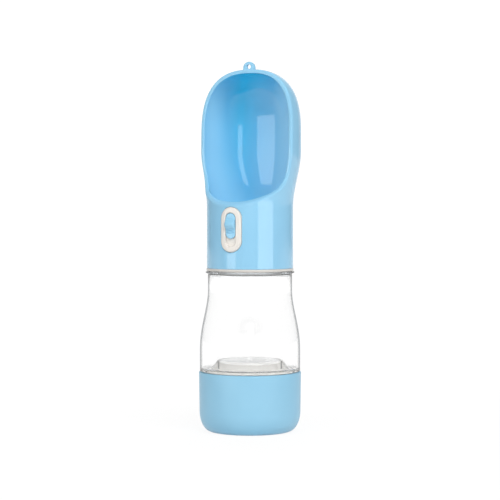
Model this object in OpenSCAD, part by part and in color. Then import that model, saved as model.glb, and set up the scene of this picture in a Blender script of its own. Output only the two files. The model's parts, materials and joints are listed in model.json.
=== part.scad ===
// Two-in-one travel bottle for dogs: a drinking scoop with a sliding tap stands on
// a clear water bottle, and a food cup screws on below the bottle.
// Millimetres. +Z is up, -Y is the front with the scoop's mouth and the tap button.
// The origin is the centre of the cup's foot, on the surface that the bottle stands on.

/* [Food cup] */
// Outer diameter of the cup at its rim
cup_d = 70.9; // [60:0.1:86]
// Height of the cup
cup_h = 41.4; // [34:0.1:60]
// Thickness of the cup's side wall
cup_wall = 2.2; // [1.6:0.1:3]
// Thickness of the cup's floor
cup_floor = 2.4; // [1.8:0.1:3]
// How far the round lower corner reaches in from the wall to the foot
cup_corner_w = 8.1; // [5:0.1:12]
// Height of the round lower corner
cup_corner_h = 14; // [9:0.5:18]
// Extra radius that the wall gains from the corner up to the rim
cup_draft = 0.4; // [0:0.1:1]
// Width of the ring that the cup stands on
foot_ring_w = 5; // [3:0.5:8]
// Depth of the shallow hollow inside the foot ring
foot_hollow = 0.8; // [0.4:0.1:1]

/* [Bottle] */
// Height of the clear wall from the heel to the shoulder
bottle_h = 68.1; // [56:0.1:90]
// Thickness of the clear wall
bottle_wall = 1.8; // [1.2:0.1:2.4]
// Thickness of the bottle's floor and of the punt
bottle_floor = 1.5; // [1.2:0.1:2.4]
// How far the bottle's foot stands in from the cup's rim
foot_inset = 0.5; // [0.3:0.1:1.5]
// How far the bottle's waist stands in from the head
waist_inset = 0.7; // [0.3:0.1:1.5]
// Height of the wide foot below the narrowing
foot_h = 14.3; // [8:0.1:20]
// Height of the S-shaped narrowing
narrowing_h = 42; // [26:0.5:44]
// Late start of the narrowing: 1 is an even S, more is a later one
narrowing_skew = 1.15; // [1:0.05:1.4]
// Rise of the punt in the bottle's floor
punt_rise = 6.1; // [4:0.1:8]
// Radius of the punt's flat top
punt_top_r = 22.5; // [18:0.5:24]
// Radius of the punt at the floor
punt_foot_r = 27; // [24.5:0.5:28]
// Radius of the round pocket under the punt
punt_pocket_r = 20.6; // [12:0.1:21]
// Height of the screw collar that reaches down into the cup
collar_h = 10; // [8:0.5:14]
// Height of the neck above the flange
neck_h = 14; // [10:0.5:18]
// Wall of the neck and of the screw collar
neck_wall = 2; // [1.6:0.1:2.4]
// Thickness of the clear flange under the head
flange_t = 1.2; // [0.8:0.1:2]
// How far the clear flange stands out past the head
flange_lip = 0.9; // [0.4:0.1:1.2]

/* [Screw joints] */
// Radial room for the screw threads between a neck and its socket
thread_room = 1.3; // [1:0.1:1.8]
// Height of the ring gasket in the cup's mouth
cup_gasket_h = 2.2; // [1.6:0.1:3]
// Width of the ring gasket in the cup's mouth
cup_gasket_w = 2.1; // [1.6:0.1:2.4]
// Thickness of the flat gasket over the neck
neck_gasket_t = 1.6; // [1:0.1:2.4]
// Height of the white ring that shows under the head
cap_ring_h = 1.8; // [1.2:0.1:3]

/* [Head] */
// Outer diameter of the head's round grip
head_d = 60; // [50:0.1:74]
// Thickness of the head's moulded wall
head_wall = 2.6; // [2.2:0.1:3]
// Height of the scoop from its lip to its crown
scoop_h = 93.9; // [78:0.1:115]
// How far each side of the scoop bulges past the grip
scoop_flare = 5.4; // [2:0.1:8]
// Height over which the grip widens into the scoop
flare_h = 39; // [28:0.5:42]
// Height of the scoop's rounded crown
crown_h = 44; // [28:0.5:48]
// Squareness of the crown seen from the front: 2 is an ellipse
crown_n = 2.6; // [2:0.1:3]
// Squareness of the scoop seen from above: 2 is an ellipse
scoop_n = 2.3; // [2:0.1:2.6]
// Distance of the mouth's upright rim in front of the axis
mouth_y = 6.7; // [3:0.1:12]
// Slope of the ramp that runs back and up from the lip, in degrees
mouth_slope = 31; // [24:1:40]
// Radius of the bend between the ramp and the upright rim
mouth_bend_r = 16; // [10:0.5:18]
// Radius at which the upper rim leans back
mouth_lean_r = 440; // [300:10:900]
// Depth of the trough below the lip
trough_depth = 9.4; // [8:0.1:16]
// Width of the rounding between the trough's floor and its walls
trough_fillet = 12; // [6:0.5:14]
// Height of the rounding between the trough's floor and its walls
trough_rise = 26; // [12:0.5:28]
// Thickness of the trough's floor
trough_floor = 2; // [1.6:0.1:3]

/* [Hanging eye] */
// Outer radius of the eye on the crown
eye_r = 4.35; // [3.6:0.05:4.8]
// Radius of the cord hole
eye_hole_r = 1.6; // [1.2:0.1:2]
// Height of the hole's centre above the crown
eye_hole_h = 1.9; // [1.9:0.1:2.4]
// Thickness of the eye from front to back
eye_t = 2.8; // [2:0.1:3.2]

/* [Tap] */
// Travel of the tap button from shut to open
tap_travel = 5.2; // [4:0.1:6.4]
// Length of the button
button_l = 17.3; // [15:0.1:21]
// Width of the button
button_w = 7.1; // [6:0.1:8.6]
// Height of the button's thumb ridge
ridge_h = 2.6; // [1.5:0.1:3.2]
// Width of the frame around the button's slot
bezel_frame = 3.8; // [3:0.1:5]
// How far the frame stands out of the grip
bezel_proud = 1; // [0.5:0.1:1.6]
// Radius of the valve stem
stem_r = 2; // [1.7:0.1:2.4]
// Radius of the outlet that the plug shuts
outlet_r = 4.5; // [3.6:0.1:5.4]
// Inner radius of the pipe that leads up into the trough
riser_r = 2.6; // [2:0.1:3]
// Inner height of the wet chamber over the outlet
chamber_h = 3; // [2.5:0.1:5]
// Height of the carrier's arm
carrier_h = 3.4; // [2.8:0.1:4.4]
// Outer radius of the return spring
spring_r = 3; // [2.6:0.1:3.4]
// Radius of the spring's wire
spring_wire_r = 0.3; // [0.2:0.05:0.35]
// Turns of the return spring
spring_turns = 6; // [4:1:7]

/* [Hidden] */
$fn = 96;

// Clearances: between parts that pass, at a drawn seam, and of a close round fit
run_gap = 0.3;
seam_gap = 0.2;
round_fit = 0.05;
// How far a cutting shape reaches past what it cuts
cut = 1;
// Land between the cup's side and its screw socket, and wall of the cap's sleeve in the head
socket_land = 0.95;
sleeve_wall = 1.6;

// Radii from the outside in: the cup and the bottle's foot, then the grip and the neck
cup_r = cup_d / 2;
cup_side_r = cup_r - cup_draft;
cup_foot_r = cup_side_r - cup_corner_w;
foot_r = cup_r - foot_inset;
cup_bore_r = cup_side_r - cup_wall - socket_land;
collar_r = cup_bore_r - thread_room;
collar_bore_r = collar_r - neck_wall;
cup_gasket_r = collar_r + seam_gap + cup_gasket_w;
head_r = head_d / 2;
waist_r = head_r - waist_inset;
flange_r = head_r + flange_lip;
head_bore_r = head_r - head_wall;
sleeve_r = head_bore_r - seam_gap / 2;
socket_r = sleeve_r - sleeve_wall;
neck_r = socket_r - thread_room;
mouth_r = neck_r - neck_wall;

// Levels from the table up
heel_z = cup_h + run_gap;
floor_z = heel_z + bottle_floor;
shoulder_z = heel_z + bottle_h;
flange_z = shoulder_z + flange_t;
cap_z = flange_z + run_gap;
head_z = cap_z + cap_ring_h;
neck_z = flange_z + neck_h;
deck_t = 1.8;
deck_z = neck_z + neck_gasket_t + deck_t;
cover_t = 1.4;
boss_h = 1.6;
boss_z = deck_z + chamber_h + cover_t + boss_h;
carrier_z = boss_z + tap_travel + run_gap;
carrier_top_z = carrier_z + carrier_h;
clip_t = 0.5;
stem_tip_z = carrier_top_z + clip_t + 0.7;
chamber_top_z = stem_tip_z + 2 * run_gap;
trough_z = chamber_top_z + trough_floor;
lip_z = trough_z + trough_depth;
flare_z = lip_z - 1;
crown_z = lip_z + scoop_h;
wide_z = crown_z - crown_h;

// The mouth seen from the side: the corner between its ramp and its upright rim, the bend
// that rounds the corner, and the level from which the rim leans back
mouth_corner_z = lip_z + (head_r - mouth_y) * tan(mouth_slope);
mouth_bend_z = mouth_corner_z + mouth_bend_r * tan((90 - mouth_slope) / 2);
mouth_lean_z = mouth_bend_z + 10;
function mouth_lean(h) = mouth_lean_r - sqrt(pow(mouth_lean_r, 2) - pow(h, 2));

// The plug under the deck
seat_bead_h = 0.6;
plug_z = deck_z - deck_t - seat_bead_h;
plug_h = 3;
plug_r = outlet_r + 1.8;

// The tap button at rest, at the upper end of its slot, and the frame around the slot
shank_w = 3;
shank_h = 3.8;
shank_z = carrier_z + carrier_h / 2;
button_z = shank_z + 1.1;
slot_w = button_w + 2 * run_gap;
slot_l = button_l + tap_travel + 2 * run_gap;
slot_z = button_z - tap_travel / 2;
bezel_w = slot_w + 2 * bezel_frame;
bezel_l = slot_l + 2 * bezel_frame;
bezel_r = head_r + bezel_proud;
tray_back_r = head_bore_r + 0.8;
tray_r = tray_back_r + 0.8;
button_back_r = tray_r + run_gap;
button_face_r = bezel_r - 0.2;

// The carrier behind the grip's wall, and what it pushes
pad_w = 9;
pad_t = 2;
pad_drop = 4;
pad_y = head_bore_r - 1;
arm_w = 5;
hub_r = stem_r + 2.2;
stem_neck_r = 0.75 * stem_r;
spring_y = 15;
spring_core_r = spring_r - 2 * spring_wire_r;
peg_r = spring_core_r - 0.4;

// The wet chamber, and the pipe behind the stem that leads into the trough
chamber_wall = 1.4;
riser_y = 10;
riser_out_r = riser_r + chamber_wall;
riser_seal_t = 0.8;
riser_z = chamber_top_z - riser_seal_t;
o_ring_r = 0.7;
o_ring_mid_r = stem_r + round_fit + o_ring_r;
o_ring_z = boss_z - boss_h / 2 - cover_t / 2;

// Points around the moulded head, and the angle at which its crown ends in a small flat top
ring_n = 80;
crown_angle = 85;

function ease(t) = t <= 0 ? 0 : t >= 1 ? 1 : t * t * (3 - 2 * t);
function signed_pow(v, p) = sign(v) * pow(abs(v), p);
function reversed(list) = [for (i = [len(list) - 1:-1:0]) list[i]];

// Quarter of an ellipse, level at (r, z) and upright at (r + w, z + h)
function corner(r, z, w, h, steps = 12) =
    [for (i = [0:steps]) [r + w * sin(90 * i / steps), z + h * (1 - cos(90 * i / steps))]];

// Solid rod along Z
module rod(r, z0, z1) {
    translate([0, 0, z0]) cylinder(r = r, h = z1 - z0);
}

// Hollow rod along Z
module tube(r_out, r_in, z0, z1) {
    difference() {
        rod(r_out, z0, z1);
        rod(r_in, z0 - cut, z1 + cut);
    }
}

// Upright stadium in front of the axis, from the distance y0 out to y1
module stadium(w, l, z, y0, y1) {
    translate([0, -y0, z]) rotate([90, 0, 0]) linear_extrude(height = y1 - y0) {
        square([w, l - w], center = true);
        for (end = [-1, 1]) translate([0, end * (l - w) / 2]) circle(r = w / 2);
    }
}

// An outline of (y, z) points made into a bar of width w along X
module side_profile(w, outline) {
    rotate([90, 0, 90]) linear_extrude(height = w, center = true) polygon(outline);
}

// ---- Food cup ----

module food_cup() {
    inner_r = cup_side_r - cup_wall;
    inner_foot_r = cup_foot_r - 1;
    thread_z = heel_z - collar_h - 1.5;
    ledge_z = heel_z - cup_gasket_h;
    mouth = cup_gasket_r + run_gap;
    hollow_r = cup_foot_r - foot_ring_w;
    inside = corner(inner_foot_r, cup_floor, inner_r - inner_foot_r, cup_corner_h - cup_floor);
    color("#9bcfe9") rotate_extrude() polygon(concat(
        [[0, foot_hollow], [hollow_r, foot_hollow], [hollow_r + foot_hollow, 0]],
        corner(cup_foot_r, 0, cup_corner_w, cup_corner_h),
        [[cup_r, cup_h - 0.5], [cup_r - 0.5, cup_h], [mouth, cup_h], [mouth, ledge_z]],
        [[cup_bore_r, ledge_z], [cup_bore_r, thread_z + 1.4], [inner_r, thread_z]],
        reversed(inside),
        [[0, cup_floor]]));
}

module cup_gasket() {
    color("#e9eef0") tube(cup_gasket_r, collar_r + seam_gap, heel_z - cup_gasket_h, heel_z);
}

// ---- Bottle ----

function narrowing(t) = foot_r - (foot_r - waist_r) * ease(pow(t, narrowing_skew));

// Side of the bottle between the foot and the shoulder, at a distance inside the outer face
function bottle_side(inset) =
    [for (i = [0:20]) [narrowing(i / 20) - inset, heel_z + foot_h + narrowing_h * i / 20]];

module bottle() {
    heel_round = 0.6;
    shoulder_round = 1.4;
    ceiling_z = flange_z - bottle_wall;
    edge = 0.3;
    color("#eef4f6", 0.4) rotate_extrude() polygon(concat(
        // underside: the pocket, then the screw collar
        [[0, floor_z + punt_rise - bottle_floor], [punt_pocket_r, floor_z + punt_rise - bottle_floor],
         [punt_pocket_r, heel_z], [collar_bore_r, heel_z], [collar_bore_r, heel_z - collar_h],
         [collar_r - heel_round, heel_z - collar_h], [collar_r, heel_z - collar_h + heel_round]],
        // outside: heel, side, shoulder, flange and neck
        [[collar_r, heel_z], [foot_r - heel_round, heel_z], [foot_r, heel_z + heel_round]],
        bottle_side(0),
        [[waist_r, shoulder_z - shoulder_round],
         [waist_r - 0.3 * shoulder_round, shoulder_z - 0.3 * shoulder_round],
         [waist_r - shoulder_round, shoulder_z], [flange_r - edge, shoulder_z],
         [flange_r, shoulder_z + edge], [flange_r, flange_z - edge], [flange_r - edge, flange_z],
         [neck_r, flange_z], [neck_r, neck_z - edge], [neck_r - edge, neck_z], [mouth_r, neck_z]],
        // inside: shoulder, side and the floor with its punt
        [[mouth_r, ceiling_z], [waist_r - 2 * bottle_wall, ceiling_z],
         [waist_r - bottle_wall, ceiling_z - bottle_wall]],
        reversed(bottle_side(bottle_wall)),
        [[foot_r - bottle_wall, floor_z + 1], [foot_r - bottle_wall - 1, floor_z],
         [punt_foot_r, floor_z], [punt_top_r, floor_z + punt_rise], [0, floor_z + punt_rise]]));
}

module neck_gasket() {
    color("#e9eef0") tube(socket_r - run_gap, mouth_r - run_gap, neck_z, neck_z + neck_gasket_t);
}

// ---- Cap inside the head ----

// Socket for the neck, with the white ring below and the valve deck above
module inner_cap() {
    ring_r = head_r + seam_gap;
    color("#e8e4de") difference() {
        union() {
            tube(ring_r, socket_r, cap_z, head_z);
            tube(sleeve_r, socket_r, head_z, deck_z);
            rod(sleeve_r - cut, deck_z - deck_t, deck_z);
            rod(outlet_r + seat_bead_h + 0.2, plug_z, deck_z - cut);
            translate([0, -spring_y, 0]) rod(peg_r, deck_z - cut, deck_z + 3);
        }
        rod(outlet_r, plug_z - cut, deck_z + cut);
    }
}

// Plan of the wet chamber, from the outlet back to the pipe
module chamber_plan(grow) {
    outlet_end = outlet_r + run_gap + grow;
    riser_end = riser_r + run_gap + grow;
    circle(r = outlet_end);
    translate([0, riser_y]) circle(r = riser_end);
    translate([-riser_end, 0]) square([2 * riser_end, riser_y]);
}

// Roof of the wet chamber, with the stem's guide and the pipe to the trough
module valve_cover() {
    roof_z = deck_z + chamber_h + cover_t;
    groove_h = 2 * o_ring_r + 0.1;
    color("#e8e4de") difference() {
        union() {
            translate([0, 0, deck_z]) linear_extrude(height = chamber_h + cover_t)
                chamber_plan(chamber_wall);
            rod(stem_r + 2, roof_z - cut, boss_z);
            translate([0, riser_y, 0]) rod(riser_out_r, roof_z - cut, riser_z);
        }
        translate([0, 0, deck_z - cut]) linear_extrude(height = chamber_h + cut)
            chamber_plan(0);
        rod(stem_r + round_fit, deck_z, boss_z + cut);
        rod(o_ring_mid_r + o_ring_r + round_fit, o_ring_z - groove_h / 2, o_ring_z + groove_h / 2);
        translate([0, riser_y, 0]) rod(riser_r, deck_z, riser_z + cut);
    }
}

module riser_seal() {
    color("#e9eef0") translate([0, riser_y, 0]) tube(riser_out_r, riser_r, riser_z, chamber_top_z);
}

module stem_seal() {
    color("#3c4044") translate([0, 0, o_ring_z]) rotate_extrude()
        translate([o_ring_mid_r, 0]) circle(r = o_ring_r, $fn = 24);
}

// ---- Valve and slide ----

module valve_stem() {
    foot_z = plug_z - plug_h;
    color("#f1efe8") {
        difference() {
            union() {
                rod(stem_r, foot_z, carrier_z);
                rod(stem_neck_r, carrier_z - cut, stem_tip_z);
                rod(stem_r + 1.4, foot_z - 1, foot_z);
            }
            tube(stem_r, stem_neck_r - 0.4, carrier_top_z, carrier_top_z + clip_t);
        }
    }
}

// Soft plug: a flat rim that meets the seat, and a cone that centres it in the outlet
module valve_plug() {
    bore_r = stem_r + round_fit;
    cone_r = outlet_r - 0.9;
    color("#dfe5e8") rotate_extrude() polygon([
        [bore_r, plug_z - plug_h], [bore_r + 1.6, plug_z - plug_h], [plug_r, plug_z - 1.2],
        [plug_r, plug_z], [cone_r, plug_z], [bore_r + 0.5, plug_z + 1.6], [bore_r, plug_z + 1.6]]);
}

// Open snap ring in the stem's groove
module stem_clip() {
    color("#b9bdc1") difference() {
        tube(hub_r - 1, stem_neck_r - 0.4 + round_fit, carrier_top_z, carrier_top_z + clip_t);
        translate([-0.7, 0, carrier_top_z - cut]) cube([1.4, hub_r, clip_t + 2 * cut]);
    }
}

// Coil of round wire: an upright eight-sided section is carried along the helix
module return_spring() {
    steps = 16 * spring_turns;
    sides = 8;
    coil_r = spring_r - spring_wire_r;
    rise = carrier_z - deck_z - 2 * spring_wire_r;
    points = [for (i = [0:steps], k = [0:sides - 1]) let (
        turn = 360 * spring_turns * i / steps,
        r = coil_r + spring_wire_r * cos(360 * k / sides),
        z = rise * i / steps + spring_wire_r * sin(360 * k / sides))
        [r * cos(turn), r * sin(turn), z]];
    side_faces = [for (i = [0:steps - 1], k = [0:sides - 1]) let (
        a = i * sides + k,
        b = i * sides + (k + 1) % sides)
        each [[a, b, b + sides], [a, b + sides, a + sides]]];
    ends = [[for (k = [sides - 1:-1:0]) k], [for (k = [0:sides - 1]) steps * sides + k]];
    color("#b9bdc1") translate([0, -spring_y, deck_z + spring_wire_r])
        polyhedron(points, concat(side_faces, ends));
}

// Pad behind the grip's wall, arm over the spring, and hub on the stem
module slide_carrier() {
    back_y = pad_y - pad_t;
    color("#f1efe8") difference() {
        union() {
            translate([-pad_w / 2, -pad_y, carrier_z - pad_drop])
                cube([pad_w, pad_t, pad_drop + carrier_h]);
            translate([-arm_w / 2, -back_y - cut, carrier_z]) cube([arm_w, back_y + cut, carrier_h]);
            rod(hub_r, carrier_z, carrier_top_z);
            translate([0, -spring_y, 0]) rod(peg_r, carrier_z - 1.6, carrier_z + cut);
        }
        rod(stem_neck_r + round_fit, carrier_z - cut, carrier_top_z + cut);
        translate([0, -pad_y + 2, shank_z]) cube([shank_w + 0.1, 6, shank_h + 0.1], center = true);
    }
}

// Thumb ridge seen from the side, as a smooth hump over the button's face
function ridge_hump(t) = t < 0 ? pow(cos(90 * t), 2) : pow(cos(90 * t), 1.2);

module slide_button() {
    ridge_z = button_z + 0.8;
    ridge_up = 5;
    ridge_down = 3.4;
    shank_end = pad_y - 3.4;
    hump = [for (i = [-12:12]) let (t = i / 12)
        [-button_face_r - ridge_h * ridge_hump(-t), ridge_z + (t > 0 ? ridge_up : ridge_down) * t]];
    base_y = -button_back_r - 0.5;
    color("#8fcbea") {
        difference() {
            union() {
                intersection() {
                    stadium(button_w, button_l, button_z, head_bore_r, bezel_r + cut);
                    tube(button_face_r, button_back_r, button_z - button_l, button_z + button_l);
                }
                intersection() {
                    stadium(button_w, button_l, button_z, head_bore_r, bezel_r + 2 * ridge_h);
                    side_profile(button_w - 2 * seam_gap, concat(
                        [[base_y, ridge_z - ridge_down]], hump, [[base_y, ridge_z + ridge_up]]));
                }
            }
            for (i = [0:1]) translate([0, -button_face_r, ridge_z - ridge_down - 0.7 - 1.4 * i])
                rotate([0, 90, 0]) cylinder(r = 0.45, h = button_w - 1.6, center = true, $fn = 24);
        }
        translate([-shank_w / 2, -button_back_r - 0.5, shank_z - shank_h / 2])
            cube([shank_w, button_back_r + 0.5 - shank_end, shank_h]);
    }
}

// Frame and shallow tray around the button, following the round of the grip
module slider_bezel() {
    color("#e8e6e2") difference() {
        intersection() {
            stadium(bezel_w, bezel_l, slot_z, head_bore_r - cut, bezel_r + cut);
            tube(bezel_r, tray_back_r + round_fit, slot_z - bezel_l, slot_z + bezel_l);
        }
        difference() {
            stadium(slot_w, slot_l, slot_z, head_bore_r - cut, bezel_r + cut);
            rod(tray_r, slot_z - bezel_l, slot_z + bezel_l);
        }
        shank_window();
    }
}

// Window for the button's shank over its whole travel
module shank_window() {
    translate([0, -head_r, shank_z - tap_travel / 2])
        cube([shank_w + 2 * run_gap, 4 * head_wall, shank_h + tap_travel + 2 * run_gap], center = true);
}

// ---- Moulded head ----

// One level of the head: a rounded outline with half width w and half depth d
function section(w, d, n, z) = [for (k = [0:ring_n - 1]) let (a = 360 * k / ring_n)
    [w * signed_pow(cos(a), 2 / n), d * signed_pow(sin(a), 2 / n), z]];

// Share of the widening that is reached at level z, and the outline there at a given inset
function flared(z) = ease((z - flare_z) / flare_h);
function level(z, inset) = section(
    head_r + scoop_flare * flared(z) - inset, head_r - inset, 2 + (scoop_n - 2) * flared(z), z);

// Levels of the crown at an inset: both half widths shrink to a small flat top
function crown(inset, steps = 15) = [for (i = [0:steps]) let (
    a = crown_angle * i / steps,
    share = pow(cos(a), 2 / crown_n),
    rise = pow(sin(a) / sin(crown_angle), 2 / crown_n))
    section((head_r + scoop_flare - inset) * share, (head_r - inset) * share, scoop_n,
            wide_z + (crown_h - inset) * rise)];

// Solid through a stack of levels
module loft(levels) {
    top = len(levels) - 1;
    sides = [for (i = [0:top - 1], k = [0:ring_n - 1]) let (
        a = i * ring_n + k,
        b = i * ring_n + (k + 1) % ring_n)
        each [[a, a + ring_n, b + ring_n], [a, b + ring_n, b]]];
    ends = [[for (k = [0:ring_n - 1]) k], [for (k = [ring_n - 1:-1:0]) top * ring_n + k]];
    polyhedron([for (ring = levels) each ring], concat(sides, ends));
}

module head_outside() {
    steps = 12;
    widening = [for (i = [0:steps]) level(flare_z + flare_h * i / steps, 0)];
    loft(concat([level(head_z, 0)], widening, crown(0)));
}

// The hollow of the scoop: a bowl-shaped trough that opens into the tall scoop
module scoop_inside() {
    bowl_steps = 10;
    steps = 6;
    rise_z = trough_z + trough_rise;
    rise = flare_z + flare_h - rise_z;
    loft(concat(
        [for (i = [0:bowl_steps]) let (a = 90 * i / bowl_steps)
            level(trough_z + trough_rise * (1 - cos(a)), head_wall + trough_fillet * (1 - sin(a)))],
        [for (i = [1:steps]) level(rise_z + rise * i / steps, head_wall)],
        crown(head_wall)));
}

// What is cut away in front: a ramp from the lip, a bend, and the upright rim that leans back
module mouth_cut() {
    reach = 2 * head_r;
    turn = 90 - mouth_slope;
    bend_y = -mouth_y - mouth_bend_r;
    above = 5;
    lean_h = crown_z + above - mouth_lean_z;
    side_profile(4 * head_r, concat(
        [[-head_r - reach, lip_z - reach * tan(mouth_slope)]],
        [for (i = [0:8]) let (a = turn * (i / 8 - 1))
            [bend_y + mouth_bend_r * cos(a), mouth_bend_z + mouth_bend_r * sin(a)]],
        [for (i = [0:5]) let (h = lean_h * i / 5) [mouth_lean(h) - mouth_y, mouth_lean_z + h]],
        [[-head_r - reach, crown_z + above]]));
}

// The grip, the scoop and the floor between them are one moulded skin, kept as one mesh
module head_shell() {
    rail_in = pad_w / 2 + run_gap;
    rail_w = 1.5;
    rail_z = deck_z + run_gap;
    rail_back = pad_y - pad_t;
    socket_in = riser_out_r + seam_gap;
    color("#9acde5") resize([0, 0, 0]) difference() {
        head_outside();
        difference() {
            rod(head_bore_r, head_z - cut, chamber_top_z, $fn = ring_n);
            for (side = [-1, 1])
                translate([side * (rail_in + rail_w / 2), -rail_back - head_wall, rail_z])
                    translate([0, 0, chamber_top_z / 2])
                        cube([rail_w, 2 * head_wall, chamber_top_z], center = true);
            translate([0, riser_y, 0]) tube(socket_in + 1.3, socket_in, riser_z - 2, chamber_top_z + cut);
        }
        scoop_inside();
        mouth_cut();
        translate([0, riser_y, 0]) rod(riser_r, chamber_top_z - cut, lip_z, $fn = 32);
        difference() {
            stadium(bezel_w + 2 * seam_gap, bezel_l + 2 * seam_gap, slot_z,
                    head_bore_r - cut, bezel_r + cut, $fn = 48);
            rod(tray_back_r, slot_z - bezel_l, slot_z + bezel_l);
        }
        shank_window();
    }
}

// Ear for a cord, moulded on the crown behind the mouth's rim
module hanging_eye() {
    behind_rim = 0.07;
    rim_y = mouth_lean(crown_z - mouth_lean_z) - mouth_y;
    eye_y = rim_y + behind_rim + eye_t / 2;
    centre_z = 1;
    color("#9acde5") translate([0, eye_y, crown_z]) rotate([90, 0, 0]) difference() {
        linear_extrude(height = eye_t, center = true) intersection() {
            union() {
                translate([0, centre_z]) circle(r = eye_r);
                translate([-eye_r, 0]) square([2 * eye_r, centre_z]);
            }
            translate([-eye_r, 0]) square(2 * eye_r);
        }
        translate([0, eye_hole_h, 0]) cylinder(r = eye_hole_r, h = eye_t + cut, center = true);
    }
}

food_cup();
cup_gasket();
bottle();
neck_gasket();
inner_cap();
valve_cover();
riser_seal();
stem_seal();
valve_stem();
valve_plug();
stem_clip();
return_spring();
slide_carrier();
slide_button();
slider_bezel();
head_shell();
hanging_eye();
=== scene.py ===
# %% [markdown]
# # A two-in-one travel bottle for dogs
#
# The object is a tall light-blue drinking scoop on a round grip, a clear water bottle below it and
# a light-blue food cup at the bottom. A white oval frame in the grip holds a thumb slide that
# opens a small valve, and water rises through the floor of the scoop when the bottle is squeezed.
#
# The engineering model already fixes every size, so this script only builds the looks around it.
# It works in millimetres in the same frame: +Z is up, -Y is the front, and z = 0 is the table.

# %% Load the fixed frame
import bpy
import json
import math
import numpy as np
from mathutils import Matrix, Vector

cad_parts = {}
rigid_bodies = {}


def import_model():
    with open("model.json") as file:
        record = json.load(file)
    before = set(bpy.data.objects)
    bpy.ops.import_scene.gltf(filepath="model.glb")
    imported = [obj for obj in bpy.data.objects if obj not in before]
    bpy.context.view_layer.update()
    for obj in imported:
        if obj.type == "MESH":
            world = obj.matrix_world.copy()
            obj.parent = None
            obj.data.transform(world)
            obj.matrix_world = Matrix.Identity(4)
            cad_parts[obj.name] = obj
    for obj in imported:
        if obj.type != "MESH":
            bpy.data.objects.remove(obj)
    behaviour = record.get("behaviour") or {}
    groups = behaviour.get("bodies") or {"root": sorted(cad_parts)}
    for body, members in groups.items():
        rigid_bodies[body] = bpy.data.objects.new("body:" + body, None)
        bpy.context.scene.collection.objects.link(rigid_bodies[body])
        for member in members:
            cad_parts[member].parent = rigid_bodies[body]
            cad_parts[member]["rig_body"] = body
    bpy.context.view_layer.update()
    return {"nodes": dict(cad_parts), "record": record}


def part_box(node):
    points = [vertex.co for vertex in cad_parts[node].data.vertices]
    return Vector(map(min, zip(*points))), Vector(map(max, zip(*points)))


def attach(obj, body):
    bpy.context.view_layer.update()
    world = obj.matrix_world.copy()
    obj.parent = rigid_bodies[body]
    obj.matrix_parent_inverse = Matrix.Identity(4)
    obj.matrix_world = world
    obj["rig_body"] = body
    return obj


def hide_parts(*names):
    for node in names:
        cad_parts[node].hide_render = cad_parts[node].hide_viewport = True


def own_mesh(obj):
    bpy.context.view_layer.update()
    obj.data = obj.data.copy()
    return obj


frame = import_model()
MM = 0.001


def size_of(part):
    """Lowest and highest corner of an engineering part, in millimetres."""
    low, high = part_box(part)
    return low / MM, high / MM


print("parts in the frame:", len(frame["nodes"]))

# %% [markdown]
# ## Measures taken from the frame
#
# A designer reads the outer sizes off the drawing and adds the few forms that a box can't tell,
# such as how steep the scoop's ramp is. Those few are the same values as in the drawing.

# %% Driving measures, in millimetres
shell_low, shell_high = size_of("head_shell")
cup_low, cup_high = size_of("food_cup")
bottle_low, bottle_high = size_of("bottle")
bezel_low, bezel_high = size_of("slider_bezel")
button_low, button_high = size_of("slide_button")
cap_low, cap_high = size_of("inner_cap")

grip_r = shell_high.y
scoop_half_w = shell_high.x
head_z = shell_low.z
crown_z = shell_high.z
head_wall = 2.6

scoop_h = 93.9
flare_h = 39
crown_h = 44
crown_squareness = 2.6
scoop_squareness = 2.3
ramp_slope = math.radians(31)
ramp_bend_r = 16
rim_front = 6.7
rim_lean_r = 440
upright_h = 10
trough_depth = 9.4
trough_fillet = 12
trough_rise = 26
trough_floor = 2

lip_z = crown_z - scoop_h
flare_z = lip_z - 1
wide_z = crown_z - crown_h
trough_z = lip_z - trough_depth
chamber_top_z = trough_z - trough_floor
print(f"grip {2 * grip_r:.1f} mm wide, scoop {2 * scoop_half_w:.1f} mm, crown at {crown_z:.1f} mm")

# %% [markdown]
# ## Two ways to make a piece
#
# Most pieces of a bottle are turned: an outline is drawn on one side of the axis and spun round
# it. The scoop, the oval frame and the slide aren't round, so a flat grid is laid over them like
# a sleeve: each row of the grid is one line around the piece. Both end as one closed skin.

# %% Helpers for selecting, wrapping and turning


def only(piece):
    """Selects one piece and nothing else."""
    if bpy.context.mode != "OBJECT":
        bpy.ops.object.mode_set(mode="OBJECT")
    bpy.ops.object.select_all(action="DESELECT")
    piece.select_set(True)
    bpy.context.view_layer.objects.active = piece


def close_skin(piece):
    """Merges the points that lie on each other and turns all faces outwards."""
    only(piece)
    bpy.ops.object.mode_set(mode="EDIT")
    bpy.ops.mesh.select_all(action="SELECT")
    bpy.ops.mesh.remove_doubles(threshold=1e-7)
    bpy.ops.mesh.delete_loose()
    bpy.ops.mesh.select_all(action="SELECT")
    bpy.ops.mesh.normals_make_consistent(inside=False)
    bpy.ops.object.mode_set(mode="OBJECT")
    bpy.ops.object.shade_smooth_by_angle(angle=math.radians(38))
    return piece


def wrapped(name, rows):
    """A grid laid over a form: rows of points in millimetres, each row once around the piece."""
    rows = np.array(rows, float)
    down, across = rows.shape[:2]
    bpy.ops.object.select_all(action="DESELECT")
    bpy.ops.mesh.primitive_grid_add(x_subdivisions=across - 1, y_subdivisions=down - 1, size=1)
    piece = bpy.context.object
    piece.name = name
    piece.data.vertices.foreach_set("co", (rows * MM).astype(np.float32).ravel())
    piece.data.update()
    return close_skin(piece)


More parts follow.
